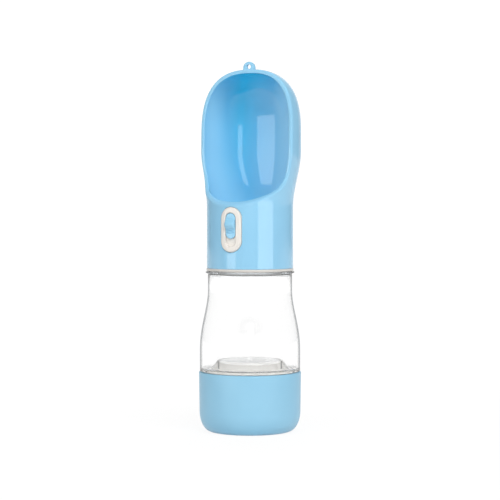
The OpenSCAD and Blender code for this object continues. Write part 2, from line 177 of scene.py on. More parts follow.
def turned(name, outline, steps=128, place=(0, 0)):
    """An outline of (radius, height) corners, spun round an upright axis at that place."""
    bpy.ops.object.select_all(action="DESELECT")
    bpy.ops.mesh.primitive_circle_add(vertices=len(outline), radius=1)
    piece = bpy.context.object
    piece.name = name
    for point, (r, z) in zip(piece.data.vertices, outline):
        point.co = ((place[0] + r) * MM, place[1] * MM, z * MM)
    bpy.ops.object.mode_set(mode="EDIT")
    bpy.ops.mesh.select_all(action="SELECT")
    centre = (place[0] * MM, place[1] * MM, 0)
    bpy.ops.mesh.spin(steps=steps, angle=2 * math.pi, center=centre, axis=(0, 0, 1))
    bpy.ops.object.mode_set(mode="OBJECT")
    return close_skin(piece)


def rounded(corners, steps=5):
    """Corners (radius, height, rounding) as an outline whose corners are arcs."""
    outline = []
    for i, (x, z, rounding) in enumerate(corners):
        point = np.array([x, z], float)
        if rounding == 0:
            outline.append(point)
            continue
        before = np.array(corners[i - 1][:2], float) - point
        after = np.array(corners[(i + 1) % len(corners)][:2], float) - point
        before_l, after_l = np.linalg.norm(before), np.linalg.norm(after)
        before, after = before / before_l, after / after_l
        half = math.acos(np.clip(before @ after, -1, 1)) / 2
        reach = min(rounding / math.tan(half), 0.49 * before_l, 0.49 * after_l)
        middle = (before + after) / np.linalg.norm(before + after)
        centre = point + middle * reach / math.cos(half)
        radius = reach * math.tan(half)
        first = point + before * reach - centre
        last = point + after * reach - centre
        start = math.atan2(first[1], first[0])
        sweep = (math.atan2(last[1], last[0]) - start + math.pi) % (2 * math.pi) - math.pi
        for k in range(steps + 1):
            a = start + sweep * k / steps
            outline.append(centre + radius * np.array([math.cos(a), math.sin(a)]))
    return outline


def quarter(r, z, width, height, steps=16):
    """A quarter of an ellipse as outline corners, level at (r, z) and upright at its end."""
    angles = [math.pi / 2 * i / steps for i in range(steps + 1)]
    return [(r + width * math.sin(a), z + height * (1 - math.cos(a)), 0) for a in angles]


def join(pieces):
    """Joins pieces into the first one."""
    only(pieces[0])
    for piece in pieces[1:]:
        piece.select_set(True)
    bpy.ops.object.join()


def cut(piece, cutter, how="DIFFERENCE"):
    """Cuts a cutter out of a piece, or joins it on, and throws the cutter away."""
    only(piece)
    boolean = piece.modifiers.new("cut", "BOOLEAN")
    boolean.operation = how
    boolean.solver = "EXACT"
    boolean.object = cutter
    bpy.ops.object.modifier_apply(modifier=boolean.name)
    bpy.data.objects.remove(cutter)
    bpy.ops.object.shade_smooth_by_angle(angle=math.radians(38))
    return piece


def block(low, high):
    """A box between two corners in millimetres."""
    low, high = Vector(low), Vector(high)
    bpy.ops.object.select_all(action="DESELECT")
    bpy.ops.mesh.primitive_cube_add(size=1, location=(low + high) / 2 * MM, scale=(high - low) * MM)
    bpy.ops.object.transform_apply(location=True, rotation=True, scale=True)
    return bpy.context.object


def tell(piece):
    """Says what was made."""
    faces = len(piece.data.polygons)
    print(f"{piece.name}: {faces} faces, {[round(v / MM, 1) for v in piece.dimensions]} mm")


# %% [markdown]
# ## The head's form
#
# Seen from above, the grip is a circle and the scoop a slightly squared oval; seen from the side,
# the crown closes like a dome. All of these are one family of curves, the superellipse, and its
# squareness grows from 2 in the grip to 2.3 in the scoop. Points are found on a flat map of the
# head: how far from the crown along the side, and in which direction. The mouth is a hole in that
# map, so straight lines on the map from the hole's edge to the foot make a grid whose first line
# runs exactly along the rim. A sculpted or cut mesh would leave ragged faces just there, where
# the glossy plastic shows every fault.

# %% The superellipse sections and the flat map


def eased(t):
    t = np.clip(t, 0, 1)
    return t * t * (3 - 2 * t)


def power(v, p):
    return np.sign(v) * np.abs(v) ** p


def side_of_head(inset, bottom=head_z, fillet=0, rise=0):
    """Table of half width, half depth, squareness and height, from the crown's pole down."""
    around = np.linspace(math.pi / 2, 0, 300)
    share = np.cos(around) ** (2 / crown_squareness)
    share[0] = 0
    crown = [
        (scoop_half_w - inset) * share,
        (grip_r - inset) * share,
        np.full(300, scoop_squareness),
        wide_z + (crown_h - inset) * np.sin(around) ** (2 / crown_squareness),
    ]
    corner = np.linspace(math.pi / 2, 0, 40)
    upright = np.linspace(wide_z, bottom + rise, 400)[1:]
    z = np.concatenate([upright, bottom + rise * (1 - np.cos(corner))])
    extra = np.concatenate([np.zeros(399), fillet * (1 - np.sin(corner))])
    widening = eased((z - flare_z) / flare_h)
    side = [
        grip_r + (scoop_half_w - grip_r) * widening - inset - extra,
        grip_r - inset - extra,
        2 + (scoop_squareness - 2) * widening,
        z,
    ]
    table = np.hstack([np.array(crown), np.array(side)])
    step = np.hypot(np.diff(table[0]), np.diff(table[3]))
    return np.vstack([np.concatenate([[0], np.cumsum(step)]), table])


def on_head(table, place):
    """Points of the head at places on the flat map."""
    way, angle = np.hypot(*place), np.arctan2(place[1], place[0])
    width, depth, n, z = [np.interp(way, table[0], row) for row in table[1:]]
    return np.stack([width * power(np.cos(angle), 2 / n), depth * power(np.sin(angle), 2 / n), z], -1)


bend_y = -rim_front - ramp_bend_r
ramp_rise = (grip_r - rim_front) * math.tan(ramp_slope)
bend_z = lip_z + ramp_rise + ramp_bend_r * math.tan((math.pi / 2 - ramp_slope) / 2)
lean_z = bend_z + upright_h


def mouth_y(z):
    """Depth of the mouth's rim at a height: a ramp, a bend, then upright and leaning back."""
    ramp = -grip_r + (z - lip_z) / math.tan(ramp_slope)
    bend = bend_y + np.sqrt(np.clip(ramp_bend_r**2 - (z - bend_z) ** 2, 0, None))
    lean = rim_lean_r - rim_front - np.sqrt(rim_lean_r**2 - np.clip(z - lean_z, 0, None) ** 2)
    bend_start = bend_z - ramp_bend_r * math.cos(ramp_slope)
    return np.where(z < bend_start, ramp, np.where(z < bend_z, bend, lean))


def rim_of(table):
    """Right half of the mouth's rim on the flat map, finely, from the lip to the crown."""
    fine = np.linspace(0, table[0][-1], 200000)
    depth, n, z = [np.interp(fine, table[0], row) for row in table[2:]]
    open_front = (np.abs(mouth_y(z)) < depth) & (z > lip_z)
    start, end = fine[open_front][-1], fine[open_front][0]
    fine = (start + end) / 2 + (start - end) / 2 * np.cos(np.linspace(0, math.pi, 6000))
    depth, n, z = [np.interp(fine, table[0], row) for row in table[2:]]
    lean = np.clip(np.abs(mouth_y(z)) / depth, 0, 1) ** (n / 2)
    angle = -np.arcsin(lean)
    angle[0] = angle[-1] = -math.pi / 2
    path = np.stack([fine * np.cos(angle), fine * np.sin(angle)])
    steps = np.linalg.norm(np.diff(on_head(table, path), axis=0), axis=1)
    way = np.concatenate([[0], np.cumsum(steps)])
    return np.stack([np.interp(np.linspace(0, way[-1], 2001), way, row) for row in path])


outer = side_of_head(0)
inner = side_of_head(head_wall, trough_z, trough_fillet, trough_rise)
print(f"side of the head: {outer[0][-1]:.0f} mm outside, {inner[0][-1]:.0f} mm inside")

# %% [markdown]
# ## The moulded head
#
# The skin runs in one go: from the rim down the outside, round the lower edge, up the bore, over
# the ceiling to the outlet hole, through the floor of the trough and up the inside to the rim
# again. The rim itself is rounded, more outside than inside, as a mould leaves it, and that
# rounding is what catches the light all along the mouth.

# %% Rows of the head's skin
half = 96
outer_round = 1.0
face_round = 1.3
inner_round = 0.7
riser_y = 10
riser_r = 2.6
bore_r = grip_r - head_wall


def mirrored(rows):
    """Both halves of rows of points: the left half is the right one mirrored."""
    rows = np.asarray(rows)
    left = rows[:, -2::-1].copy()
    left[..., 0] *= -1
    return np.concatenate([rows, left], axis=1)


outer_path = rim_of(outer)
inner_path = rim_of(inner)
heading = np.unwrap(np.arctan2(*np.gradient(outer_path, axis=1)[::-1]))
turned_by = (heading - heading[0]) / (heading[-1] - heading[0])
turned_by = np.clip(np.maximum.accumulate(turned_by), 0, 1)
along_rim = np.linspace(0, 1, outer_path.shape[1])
stops = np.interp(np.linspace(0, 1, half + 1), 0.55 * along_rim + 0.45 * turned_by, along_rim)
turn = math.pi * (np.interp(stops, along_rim, 0.3 * along_rim + 0.7 * turned_by) - 0.5)
compass = np.stack([np.cos(turn), np.sin(turn)])
outer_rim = np.stack([np.interp(stops, along_rim, row) for row in outer_path])
inner_points = on_head(inner, inner_path)
nearest = [np.argmin(np.linalg.norm(inner_points - p, axis=1)) for p in on_head(outer, outer_rim)]
nearest[0], nearest[-1] = 0, len(inner_points) - 1
inner_rim = inner_path[:, nearest]
print(f"rim: {len(stops)} points on each half, turning {np.degrees(turn[-1] - turn[0]):.0f} degrees")


def from_rim(table, rim, rounding, count):
    """Rows from just behind the rim to the end of the table; the first is set in by the rounding."""
    foot = compass * table[0][-1]
    edge = on_head(table, rim)
    along = np.gradient(edge, axis=0)
    along /= np.linalg.norm(along, axis=1, keepdims=True)
    small = 0.004
    away = (on_head(table, rim + (foot - rim) * small) - edge) / small
    square = away - (away * along).sum(1, keepdims=True) * along
    first = rounding / np.linalg.norm(square, axis=1)
    shares = [first + (1 - first) * s for s in np.linspace(0, 1, count)]
    return edge, [on_head(table, rim + (foot - rim) * share) for share in shares]


def ring(r, z, y=0):
    return np.stack([r * np.cos(turn), y + r * np.sin(turn), np.full(half + 1, z)], -1)


def between(a, b, count):
    return [a + (b - a) * i / count for i in range(1, count)]


def bend_over(a, corner, b, steps=6):
    """A rounded edge from a to b, drawn towards a sharp corner."""
    return [a * (1 - t) ** 2 + corner * 2 * t * (1 - t) + b * t * t for t in np.linspace(0, 1, steps + 1)]


edge_out, outside = from_rim(outer, outer_rim, outer_round, 76)
edge_in, inside = from_rim(inner, inner_rim, inner_round, 76)
across = edge_in - edge_out
across /= np.linalg.norm(across, axis=1, keepdims=True)
foot_edge = 0.5
foot_corner = [(grip_r, head_z + foot_edge), (grip_r, head_z), (grip_r - foot_edge, head_z)]
bore_corner = [(bore_r + foot_edge, head_z), (bore_r, head_z), (bore_r, head_z + foot_edge)]
foot = bend_over(*[ring(r, z) for r, z in foot_corner], 4)
bore_foot = bend_over(*[ring(r, z) for r, z in bore_corner], 4)
ceiling = [ring(bore_r, chamber_top_z)]
hole_edge = 0.3
hole_corners = [(riser_r, chamber_top_z), (riser_r, trough_z - hole_edge), (riser_r + hole_edge, trough_z)]
hole = [ring(r, z, riser_y) for r, z in hole_corners]
floor_edge = ring(grip_r - head_wall - trough_fillet, trough_z)
rows = outside[:-1] + foot + bore_foot + between(bore_foot[-1], ceiling[0], 12) + ceiling
rows += between(ceiling[0], hole[0], 8) + hole + between(hole[-1], floor_edge, 6) + inside[::-1]
rows += bend_over(inside[0], edge_in, edge_in - across * inner_round)[1:]
rows += bend_over(edge_out + across * face_round, edge_out, outside[0])
head_shell = wrapped("head_shell.form", mirrored(rows))
tell(head_shell)

# %% [markdown]
# ## The frame's pocket, the slide's window and the ribs inside the grip
#
# The oval frame sits in a pocket of the grip. A stadium that bends with the round grip is the
# shape of the pocket, of the frame and of the slide, so one helper makes all three: it lays rows
# at chosen distances inside the edge, each on a cylinder of its own radius. The pocket's mouth is
# rounded a little, which gives the thin light line around the frame in the photograph.

# %% Stadiums that follow the grip
slot_z = (bezel_low.z + bezel_high.z) / 2
bezel_half_w = bezel_high.x
bezel_straight = (bezel_high.z - bezel_low.z) / 2 - bezel_half_w
bezel_r = -bezel_low.y
pocket_r = 28.2
seam = 0.2


def plate(name, half_w, straight, z, rows, arc=28):
    """A stadium bent round the grip. Each row has its inset from the edge and its radius."""
    half_turn = np.linspace(0, math.pi, arc + 1)
    around = np.concatenate([half_turn, half_turn + math.pi, [0]])
    end = np.concatenate([np.ones(arc + 1), -np.ones(arc + 1), [1]])
    points = []
    for inset, radius in rows:
        x = (half_w - inset) * np.cos(around)
        height = z + end * straight + (half_w - inset) * np.sin(around)
        points.append(np.stack([x, -np.sqrt(radius**2 - x**2), height], -1))
    return wrapped(name, points)


def drop(distance, reach, depth):
    """How far a rounded edge lies below the face at a distance from that edge."""
    return depth * (1 - np.sqrt(1 - np.clip(1 - distance / reach, 0, 1) ** 2))


pocket_half_w = bezel_half_w + seam
pocket_edge = 0.45
flare = np.linspace(0, pocket_edge, 6)
cutter_rows = [(pocket_half_w * s, pocket_r) for s in (1, 0.75, 0.5, 0.25, 0)]
cutter_rows += [(-drop(pocket_edge - f, pocket_edge, pocket_edge), grip_r - pocket_edge + f) for f in flare]
cutter_rows += [(-pocket_edge, grip_r + 4)] + [(pocket_half_w * s, grip_r + 4) for s in (0.25, 0.5, 0.75, 1)]
# an odd number of steps keeps the cutter's corners off the seam at the middle of the front
pocket = plate("pocket", pocket_half_w, bezel_straight, slot_z, cutter_rows, arc=29)
cut(head_shell, pocket)

window_low, window_high = (-1.8, -32, 134.2), (1.8, -22, 143.8)
cut(head_shell, block(window_low, window_high))

above_ceiling = chamber_top_z + 0.5
rib_x, rib_w, rib_front, rib_back, rib_low = 4.8, 1.5, -27.4, -24.4, 128.7
fittings = []
for x in (rib_x, -rib_x - rib_w):
    fittings.append(block((x, rib_front, rib_low), (x + rib_w, rib_back, above_ceiling)))
socket_r, socket_outer_r, socket_low = 4.2, 5.5, 142.3
socket_ring = [(socket_r, socket_low, 0.2), (socket_outer_r, socket_low, 0.2)]
socket_ring += [(socket_outer_r, above_ceiling, 0), (socket_r, above_ceiling, 0)]
fittings.append(turned("riser_socket", rounded(socket_ring), 64, (0, riser_y)))
join(fittings)
cut(head_shell, fittings[0], "UNION")
tell(head_shell)

# %% [markdown]
# ## The ear for a cord
#
# A round ear with a hole stands on the crown just behind the rim. A torus would give the hole and
# the round top, but no root. So the ear is drawn as rings between the hole and the outline, with
# both edges rounded, and its root reaches into the shell.

# %% The hanging ear
ear_low, ear_high = size_of("hanging_eye")
ear_r = ear_high.x
ear_centre = ear_high.z - ear_r
ear_hole_r = 1.6
ear_hole_z = crown_z + 1.9
ear_root_z = crown_z - 1.1

walk = np.linspace(0, 1, 97)
corner_path = [(0, ear_root_z), (ear_r, ear_root_z), (ear_r, ear_centre)]
for a in np.linspace(0, math.pi, 49)[1:]:
    corner_path.append((ear_r * math.cos(a), ear_centre + ear_r * math.sin(a)))
corner_path += [(-ear_r, ear_root_z), (0, ear_root_z)]
corner_path = np.array(corner_path)
walked = np.concatenate([[0], np.cumsum(np.linalg.norm(np.diff(corner_path, axis=0), axis=1))])
ear_edge = np.stack([np.interp(walk * walked[-1], walked, corner_path[:, i]) for i in range(2)], -1)
around = 2 * math.pi * walk
ear_hole = np.stack([ear_hole_r * np.sin(around), ear_hole_z - ear_hole_r * np.cos(around)], -1)
outwards = ear_edge - ear_hole
outwards /= np.linalg.norm(outwards, axis=1, keepdims=True)


def ear_ring(flat, y):
    return np.stack([flat[:, 0], np.full(len(flat), y), flat[:, 1]], -1)


round_steps = np.linspace(0, math.pi / 2, 6)
near, far = 1 - np.cos(round_steps), 1 - np.sin(round_steps)
hole_round, edge_round = 0.4, 0.6
front_y, back_y = ear_low.y, ear_high.y
front = [ear_ring(ear_hole + outwards * hole_round * n, front_y + hole_round * f) for n, f in zip(near, far)]
front += [ear_ring(ear_edge - outwards * edge_round * f, front_y + edge_round * n) for n, f in zip(near, far)]
back = []
for ring_row in front[::-1]:
    mirrored_row = ring_row.copy()
    mirrored_row[:, 1] = front_y + back_y - mirrored_row[:, 1]
    back.append(mirrored_row)
hanging_eye = wrapped("hanging_eye.form", front + back + [front[0]])
tell(hanging_eye)

# %% [markdown]
# ## The white oval frame and its tray
#
# The frame stands a millimetre out of the grip. Its face is crowned, with a wide rounding outside
# and a tight one at the slot, and the shallow tray closes it at the back so that no dirt gets in.
# Bevels on a cut-out oval would do too, but rows at chosen insets set each rounding by itself.

# %% The slider frame
frame_w = 3.8
tray_r = 29.0
outer_crown, outer_drop = 1.3, 1.1
slot_crown, slot_drop = 0.7, 0.5
slot_edge = np.linspace(frame_w - slot_crown, frame_w, 6)
across = np.concatenate([np.linspace(0, outer_crown, 9), [2.0, 2.6], slot_edge])
bezel_rows = [(bezel_half_w * s, pocket_r + 0.05) for s in (1, 0.75, 0.5, 0.25, 0)]
for inset in across:
    face_drop = drop(inset, outer_crown, outer_drop) + drop(frame_w - inset, slot_crown, slot_drop)
    bezel_rows.append((inset, bezel_r - face_drop))
bezel_rows += [(frame_w, tray_r + 0.3), (frame_w + 0.1, tray_r + 0.08), (frame_w + 0.35, tray_r)]
bezel_rows += [(i, tray_r) for i in (5, 6.2, bezel_half_w)]
slider_bezel = plate("slider_bezel.form", bezel_half_w, bezel_straight, slot_z, bezel_rows)
cut(slider_bezel, block(window_low, window_high))
tell(slider_bezel)

# %% [markdown]
# ## The thumb slide
#
# The slide is a small stadium whose face carries a ridge for the thumb and two grooves below it.
# Its face is a height drawn over a fine grid: the ridge rises slowly from above and falls steeply
# below, where the thumb pushes. The grid's columns crowd at the edges, so the rounding is smooth.
# A bevelled box could carry a ridge too, but both of its slopes would be alike.

# %% The slide
button_z = (button_low.z + button_high.z) / 2
button_half_w = button_high.x
button_half_l = (button_high.z - button_low.z) / 2
button_straight = button_half_l - button_half_w
button_face_r = bezel_r - 0.2
button_back_r = tray_r + 0.3
ridge_z = button_z + 0.8
ridge_h = -button_low.y - button_face_r
ridge_above, ridge_below = 5, 3.4
groove_r, groove_half_w, groove_end = 0.45, 2.75, 0.35


def button_radius(x, z):
    """Distance of the slide's face from the axis of the grip."""
    side = np.hypot(x, np.maximum(np.abs(z - button_z) - button_straight, 0))
    up, down = np.clip((z - ridge_z) / ridge_above, 0, 1), np.clip((ridge_z - z) / ridge_below, 0, 1)
    hump = np.cos(up * math.pi / 2) ** 2 * np.cos(down * math.pi / 2) ** 1.2
    edge = drop(button_half_w - side, 0.55 + 0.5 * hump, 0.45 + 0.35 * hump)
    radius = button_face_r + ridge_h * hump - edge
    for groove_z in (ridge_z - 4.1, ridge_z - 5.5):
        groove = np.sqrt(np.clip(groove_r**2 - (z - groove_z) ** 2, 0, None))
        radius = radius - groove * eased((groove_half_w - np.abs(x)) / groove_end)
    return radius


columns = np.sin(np.linspace(-math.pi / 2, math.pi / 2, 41))
button_rows = []
for z in button_z + button_half_l * np.sin(np.linspace(-math.pi / 2, math.pi / 2, 221)):
    half_w = math.sqrt(max(button_half_w**2 - max(abs(z - button_z) - button_straight, 0) ** 2, 0))
    face_x = half_w * columns
    face_r = button_radius(face_x, z)
    sides = [button_back_r + (face_r[-1] - button_back_r) * s for s in (0.66, 0.33)]
    back_x = np.linspace(half_w, -half_w, 9)
    x = np.concatenate([face_x, [half_w, half_w], back_x, [-half_w, -half_w], face_x[:1]])
    r = np.concatenate([face_r, sides, np.full(9, button_back_r), sides[::-1], face_r[:1]])
    button_rows.append(np.stack([x, -np.sqrt(r**2 - x**2), np.full(len(x), z)], -1))
slide_button = wrapped("slide_button.form", button_rows)
tongue_half_w, tongue_low, tongue_high = 1.5, 139.7, 143.5
tongue = block((-tongue_half_w, -29.8, tongue_low), (tongue_half_w, button_high.y, tongue_high))
cut(slide_button, tongue, "UNION")
tell(slide_button)

# %% [markdown]
# ## Screw threads
#
# Every screw joint here has one thread of 4 mm a turn. A ridge with sloping sides is carried along
# a helix and fades out at both ends, as a moulded thread does. The socket's ridge runs half a turn
# behind the neck's, so the two mesh, and they stay in mesh while the joint screws itself open.
# The Screw modifier makes a helix too, but its ends would stop square.

# %% Threads
thread_pitch = 4
thread_h = 0.75
off_the_seam = 0.013


def thread(core_r, low, high, start_turn, side):
    """A ridge along a helix, outside a neck (side 1) or inside a socket (side -1)."""
    turns = (high - low) / thread_pitch
    count = round(56 * turns)
    rows = []
    for t in np.linspace(0, 1, count + 1):
        angle = 2 * math.pi * (start_turn + off_the_seam + turns * t)
        full = thread_h * eased(min(t, 1 - t) * turns * 5)
        out = np.array([-0.5, 0, full * 0.85, full, full, full * 0.85, 0, -0.5, -0.5])
        up = np.array([-0.8, -0.8, -0.42, -0.25, 0.25, 0.42, 0.8, 0.8, -0.8])
        r = core_r + side * out
        rows.append(np.stack([r * math.cos(angle), r * math.sin(angle), low + (high - low) * t + up], -1))
    rows[0] = np.tile(rows[0][:1], (9, 1))
    rows[-1] = np.tile(rows[-1][:1], (9, 1))
    return wrapped("thread", rows)


# %% [markdown]
# ## The food cup
#
# A cup with a wide round foot, a thin ring to stand on and a screw socket just inside its rim.
# It is turned like a pot: one outline, spun round the axis. It could also be a cylinder with
# bevelled edges, but an outline gives each corner and the round foot its own size.

# %% The cup
cup_r = -cup_low.x
cup_h = cup_high.z
cup_foot_r = cup_r - 8.5
cup_floor = 2.4
stand = 0.8
ledge_z = cup_h - 1.9
seat_r, cup_socket_r, bowl_r = 33.2, 31.9, 32.85
cup_outside = quarter(cup_foot_r, 0, 8.1, 14)
cup_inside = quarter(cup_foot_r - 1, cup_floor, 6.9, 11.6)[::-1]
cup_outline = [(0, stand, 0), (cup_foot_r - 5, stand, 0.5), (cup_foot_r - 4.2, 0, 0.4), *cup_outside]
cup_outline += [(cup_r, cup_h, 0.7), (seat_r, cup_h, 0.4), (seat_r, ledge_z, 0), (cup_socket_r, ledge_z, 0.2)]
cup_outline += [(cup_socket_r, 31.6, 0.5), (bowl_r, 30.2, 0.5), *cup_inside, (0, cup_floor, 0)]
food_cup = turned("food_cup.form", rounded(cup_outline), 160)
cut(food_cup, thread(cup_socket_r, 33, 38.2, 0.5, -1), "UNION")
tell(food_cup)

# %% [markdown]
# ## The clear bottle
#
# The wall narrows in an S from the wide foot to the waist, and the floor is pushed up in a punt.
# Both the outer and the inner face are modelled, because a clear wall bends the light at each.
# A single sheet with a Solidify modifier would give the wall, but not its thicker foot and neck.

# %% The bottle
heel_z = cup_h + 0.3
foot_r = bottle_high.x
waist_r = grip_r - 0.7
flange_r = grip_r + 0.9
wall = 1.8
floor_z = heel_z + 1.5
shoulder_z = heel_z + 68.1
flange_z = shoulder_z + 1.2
neck_z = bottle_high.z
punt_z = floor_z + 6.1
pocket_ceiling_z = punt_z - 1.5
under_r = 20.6
collar_low, collar_r, collar_inner_r = bottle_low.z, 30.6, 28.6
neck_r, mouth_r = 24.4, 22.4


def bottle_side(inset):
    """The S-shaped side from the foot up, at a distance inside the outer face."""
    t = np.linspace(0, 1, 41)
    r = foot_r - (foot_r - waist_r) * eased(t**1.15) - inset
    return [(a, b, 0) for a, b in zip(r, heel_z + 14.3 + 42 * t)]


bottle_outline = [(0, pocket_ceiling_z, 0), (under_r, pocket_ceiling_z, 0.8), (under_r, heel_z, 0.5)]
bottle_outline += [(collar_inner_r, heel_z, 0.4), (collar_inner_r, collar_low, 0.5)]
bottle_outline += [(collar_r, collar_low, 0.6), (collar_r, heel_z, 0.3), (foot_r, heel_z, 0.8)]
bottle_outline += bottle_side(0)
bottle_outline += [(waist_r, shoulder_z, 0.5), (flange_r, shoulder_z, 0.35), (flange_r, flange_z, 0.35)]
bottle_outline += [(neck_r, flange_z, 0.4), (neck_r, neck_z, 0.5), (mouth_r, neck_z, 0.5)]
bottle_outline += [(mouth_r, flange_z - wall, 1), (waist_r - wall, flange_z - wall, 0.6)]
bottle_outline += [*bottle_side(wall)[::-1], (foot_r - wall, floor_z, 1.6), (27, floor_z, 1)]
bottle_outline += [(22.5, punt_z, 1.2), (0, punt_z, 0)]
bottle = turned("bottle.form", rounded(bottle_outline), 192)
cut(bottle, thread(collar_r, 33, 38, 0, 1), "UNION")
cut(bottle, thread(neck_r, 113.6, 123, 0, 1), "UNION")
tell(bottle)

# %% [markdown]
# ## Which face gets which finish
#
# The bottle is one moulding, but the mould isn't polished everywhere: the side is clear, and the
# underside is eroded dull so that it doesn't scratch. The scoop's inner wall also gets a material
# of its own, with painted shade and painted light. A function looks at the place and the direction
# of each face and gives it a number, which later picks a material. Painting by rule keeps working
# when a size changes.

# %% Faces of the bottle and of the scoop


def bottle_face(face):
    """Finish of a face: 0 inside, 1 skin, 2 pocket underneath, 3 heel, 4 punt, 5 ceiling, 6 flange."""
    x, y, z = face.center / MM
    r = math.hypot(x, y)
    if r < under_r + 0.3 and z < pocket_ceiling_z + 0.2:
        return 5 if face.normal.z < -0.7 else 2
    if r > waist_r + 0.1 and z > shoulder_z - 0.2:
        return 6
    if r < foot_r - 0.5 and heel_z - 0.6 < z < heel_z + 0.05:
        return 3
    if r < 27.2 and heel_z < z < punt_z + 0.1:
        return 4
    return int(face.normal.x * x + face.normal.y * y > 0.3 * r)


bottle_finish = [bottle_face(face) for face in bottle.data.polygons]
print("faces of each finish:", [bottle_finish.count(k) for k in range(7)])


def inside_scoop(face):
    """Whether a face of the head belongs to the scoop's inner wall."""
    x, y, z = face.center / MM
    away = Vector((x, y, max(z - 200, 0)))
    return z > trough_z - 0.1 and face.normal @ away < -0.8 * away.length


# the scoop's inner wall gets the material with painted shade and painted light
scoop_painted_shade_faces = [int(inside_scoop(face)) for face in head_shell.data.polygons]
print("faces of the scoop's inner wall:", sum(scoop_painted_shade_faces))

# %% [markdown]
# ## The cap inside the head
#
# The neck screws into a white cap that is pressed into the head. Only its ring shows, as a cream
# line under the head. Its deck carries the outlet, and the valve's small parts stand on it. All of
# it but the spring's peg is round about the axis, so it is spun from one outline like the cup.

# %% The cap
cap_r = cap_high.x
cap_z = cap_low.z
cap_skirt_r, cap_socket_r = 27.3, 25.7
deck_z, deck_under = 128.4, 126.6
outlet_r = 4.5
lip_r, outlet_lip = 5.3, 126
cap_outline = [(cap_r, cap_z, 0.45), (cap_r, head_z, 0.3), (cap_skirt_r, head_z, 0)]
cap_outline += [(cap_skirt_r, deck_z, 0.4), (outlet_r, deck_z, 0.3), (outlet_r, outlet_lip, 0.2)]
cap_outline += [(lip_r, outlet_lip, 0.25), (lip_r, deck_under, 0), (cap_socket_r, deck_under, 0.4)]
cap_outline += [(cap_socket_r, cap_z, 0.5)]
inner_cap = turned("inner_cap.form", rounded(cap_outline), 128)
spring_y = -15
peg_r = 2
peg_low, peg_high = deck_z - 0.6, deck_z + 3
peg_outline = rounded([(0, peg_low, 0), (peg_r, peg_low, 0), (peg_r, peg_high, 0.5), (0, peg_high, 0)])
cut(inner_cap, turned("peg", peg_outline, 48, (0, spring_y)), "UNION")
cut(inner_cap, thread(cap_socket_r, 113.6, 123, 0.5, -1), "UNION")
tell(inner_cap)

# %% [markdown]
# ## Seals
#
# Every seal is a plain ring with rounded edges, spun from a small rectangle. The O-ring is round
# all through, which is just what the torus primitive gives. None can be seen with the bottle
# closed, but the cup's and the neck's show when it is unscrewed.

# %% Gaskets and seals


def seal(name, inner_r, outer_r, low, high, place=(0, 0)):
    corners = [(inner_r, low, 0.25), (outer_r, low, 0.25), (outer_r, high, 0.25), (inner_r, high, 0.25)]
    return turned(name, rounded(corners), 96, place)


pipe_r, pipe_top = 4, 144.3
ring_z, ring_r, ring_section = 132.9, 2.75, 0.7
cup_gasket = seal("cup_gasket.form", 30.8, 32.9, ledge_z, heel_z)
neck_gasket = seal("neck_gasket.form", 22.1, 25.4, neck_z, neck_z + 1.6)
riser_seal = seal("riser_seal.form", riser_r, pipe_r, pipe_top, chamber_top_z, (0, riser_y))
bpy.ops.mesh.primitive_torus_add(
    location=(0, 0, ring_z * MM), major_radius=ring_r * MM, minor_radius=ring_section * MM,
    major_segments=64, minor_segments=20,
)
bpy.ops.object.transform_apply(location=True)
stem_seal = bpy.context.object
stem_seal.name = "stem_seal.form"
close_skin(stem_seal)
for piece in (cup_gasket, neck_gasket, riser_seal, stem_seal):
    tell(piece)

# %% [markdown]
# ## The valve
#
# A stem carries a soft plug that shuts the outlet from below. The stem slides in a small roof
# over the outlet, and a pipe behind it leads the water up into the trough. A snap ring holds the
# stem in an arm, which the slide pushes down against a coil spring. Stem, plug and ring are turned.
# The roof isn't round, so it is raised from its plan, and its bores are cut as a drill would.

# %% Stem, plug and snap ring
stem_r, tail_r, groove_floor_r, guide_r = 2, 1.5, 1.1, 2.05
plate_low, plate_top = 122, 123
arm_low, arm_high = 139.9, 143.3
clip_top, stem_top = 143.8, 144.5
stem_outline = [(0, plate_low, 0), (3.4, plate_low, 0.25), (3.4, plate_top, 0.25)]
stem_outline += [(stem_r, plate_top, 0.2), (stem_r, arm_low, 0.2), (tail_r, arm_low, 0)]
stem_outline += [(tail_r, arm_high, 0), (groove_floor_r, arm_high, 0), (groove_floor_r, clip_top, 0)]
stem_outline += [(tail_r, clip_top, 0), (tail_r, stem_top, 0.35), (0, stem_top, 0)]
valve_stem = turned("valve_stem.form", rounded(stem_outline), 64)
plug_outline = [(guide_r, plate_top, 0), (3.65, plate_top, 0.3), (6.3, 124.8, 0.5), (6.3, outlet_lip, 0.4)]
plug_outline += [(3.6, outlet_lip, 0.3), (2.55, 127.6, 0.3), (guide_r, 127.6, 0)]
valve_plug = turned("valve_plug.form", rounded(plug_outline), 96)
clip_outline = [(1.15, arm_high, 0.1), (3.2, arm_high, 0.1), (3.2, clip_top, 0.1), (1.15, clip_top, 0.1)]
stem_clip = turned("stem_clip.form", rounded(clip_outline, 2), 64)
cut(stem_clip, block((-0.7, 0, arm_high - 0.3), (0.7, 4.2, clip_top + 0.2)))
for piece in (valve_stem, valve_plug, stem_clip):
    tell(piece)

# %% Roof of the wet chamber
outlet_room, pipe_room = 4.8, 2.9
roof_wall, roof_top, boss_top = 1.4, 132.8, 134.4


def arc(radius, y, start, end, steps):
    """Points of an arc about (0, y) in plan."""
    return [(radius * math.cos(a), y + radius * math.sin(a)) for a in np.linspace(start, end, steps + 1)]


